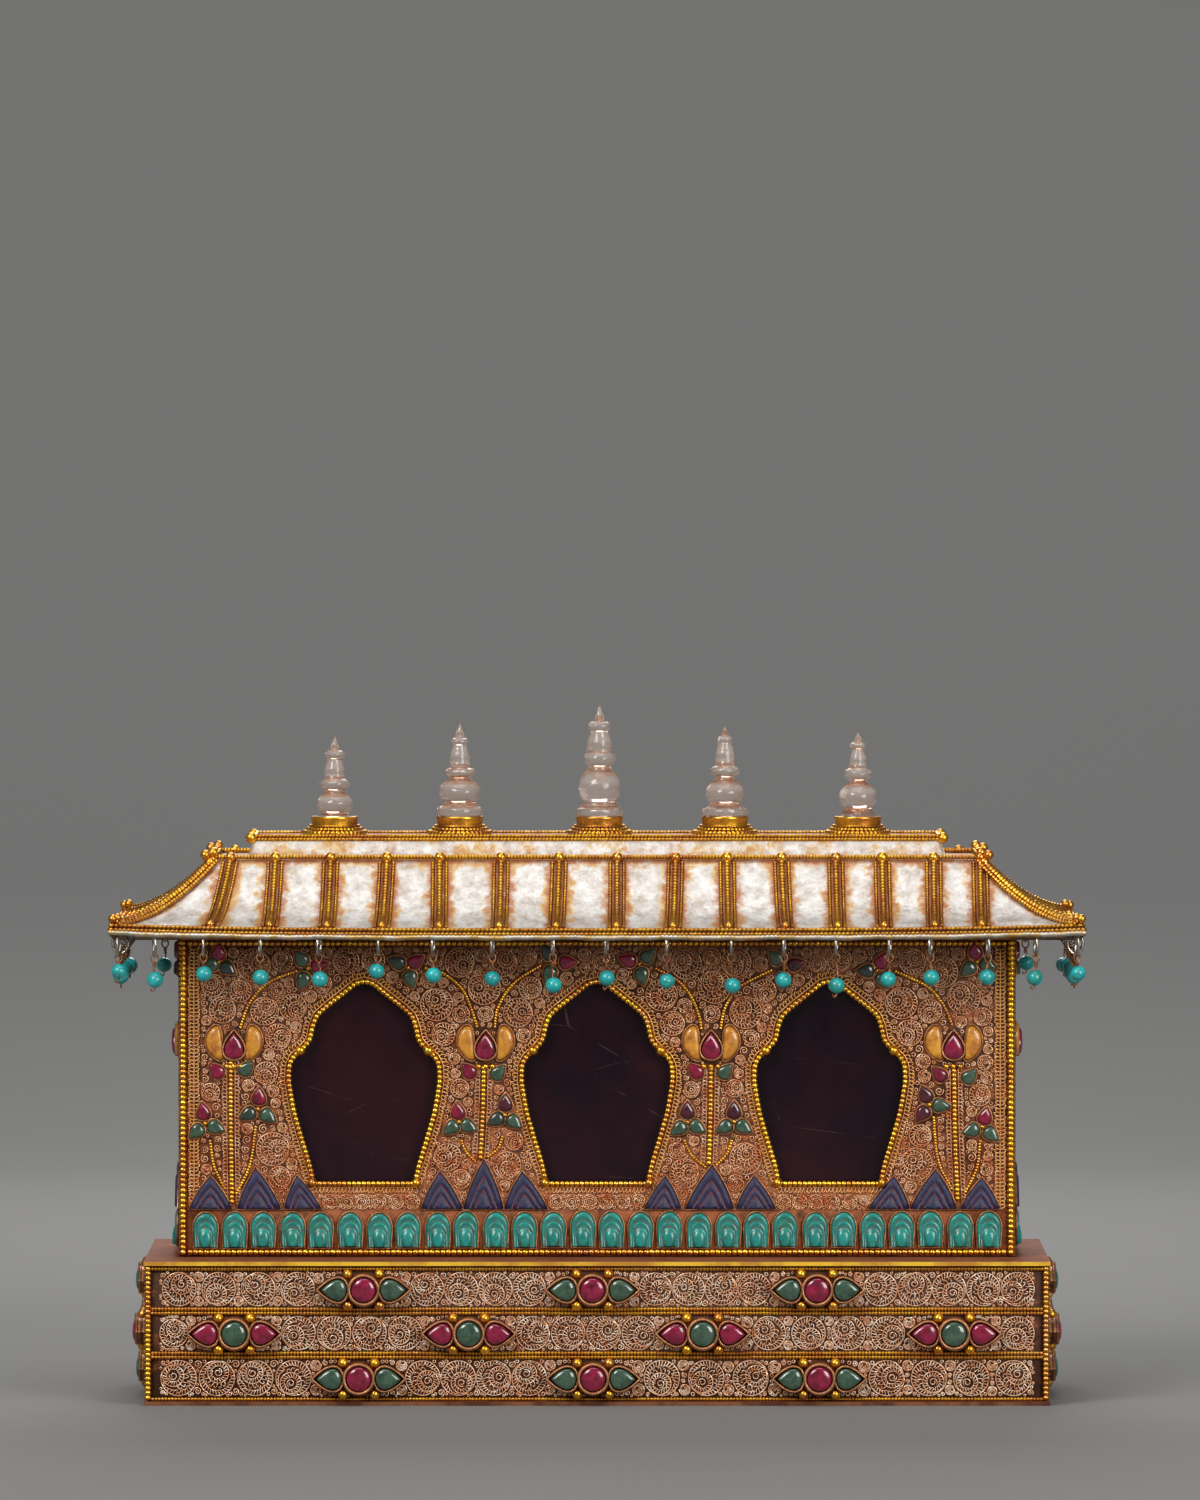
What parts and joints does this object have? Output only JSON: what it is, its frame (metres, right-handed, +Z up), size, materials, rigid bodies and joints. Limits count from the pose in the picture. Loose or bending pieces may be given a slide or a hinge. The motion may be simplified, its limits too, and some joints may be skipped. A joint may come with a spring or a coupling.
{
  "type": "buddhist altar box",
  "caption": "House-shaped filigree altar box on an oblong plinth, with cusped windows, a flared hipped roof, crystal finials and a fringe of turquoise beads.",
  "frame": {"origin": "on the surface the plinth stands on, below the middle of the box", "axes": "+X to the right along the long side, +Y from the front to the back, +Z up"},
  "size_m": [0.36, 0.13, 0.256],
  "materials": {
    "gilt_filigree": "beaded gilt wire, worn",
    "copper_plate": "reddish copper, worn",
    "silver_plate": "silver sheet with yellow wash",
    "dark_glass": "dark wine-coloured pane with fine scratches",
    "rock_crystal": "clear rock crystal",
    "inlaid_stone": "polished turquoise"
  },
  "bodies": {
    "root": {"plinth_front_panel": "gilt_filigree", "plinth_back_panel": "gilt_filigree", "plinth_left_panel": "gilt_filigree", "plinth_right_panel": "gilt_filigree", "house_front_wall": "gilt_filigree", "house_back_wall": "gilt_filigree", "house_left_wall": "gilt_filigree", "house_right_wall": "gilt_filigree", "finial_cup_1": "gilt_filigree", "finial_cup_2": "gilt_filigree", "finial_cup_3": "gilt_filigree", "finial_cup_4": "gilt_filigree", "finial_cup_5": "gilt_filigree", "plinth_base_plate": "copper_plate", "plinth_top_plate": "copper_plate", "eave_plate": "silver_plate", "roof_shell": "silver_plate", "window_pane_left": "dark_glass", "window_pane_middle": "dark_glass", "window_pane_right": "dark_glass", "crystal_finial_1": "rock_crystal", "crystal_finial_2": "rock_crystal", "crystal_finial_3": "rock_crystal", "crystal_finial_4": "rock_crystal", "crystal_finial_5": "rock_crystal", "pendant_front_1": "inlaid_stone", "pendant_front_2": "inlaid_stone", "pendant_front_3": "inlaid_stone", "pendant_front_4": "inlaid_stone", "pendant_front_5": "inlaid_stone", "pendant_front_6": "inlaid_stone", "pendant_front_7": "inlaid_stone", "pendant_front_8": "inlaid_stone", "pendant_front_9": "inlaid_stone", "pendant_front_10": "inlaid_stone", "pendant_front_11": "inlaid_stone", "pendant_front_12": "inlaid_stone", "pendant_front_13": "inlaid_stone", "pendant_front_14": "inlaid_stone", "pendant_front_15": "inlaid_stone", "pendant_front_16": "inlaid_stone", "pendant_front_17": "inlaid_stone", "pendant_front_18": "inlaid_stone", "pendant_front_19": "inlaid_stone", "pendant_left_1": "inlaid_stone", "pendant_left_2": "inlaid_stone", "pendant_left_3": "inlaid_stone", "pendant_left_4": "inlaid_stone", "pendant_left_5": "inlaid_stone", "pendant_right_1": "inlaid_stone", "pendant_right_2": "inlaid_stone", "pendant_right_3": "inlaid_stone", "pendant_right_4": "inlaid_stone", "pendant_right_5": "inlaid_stone"}
  },
  "joints": []
}
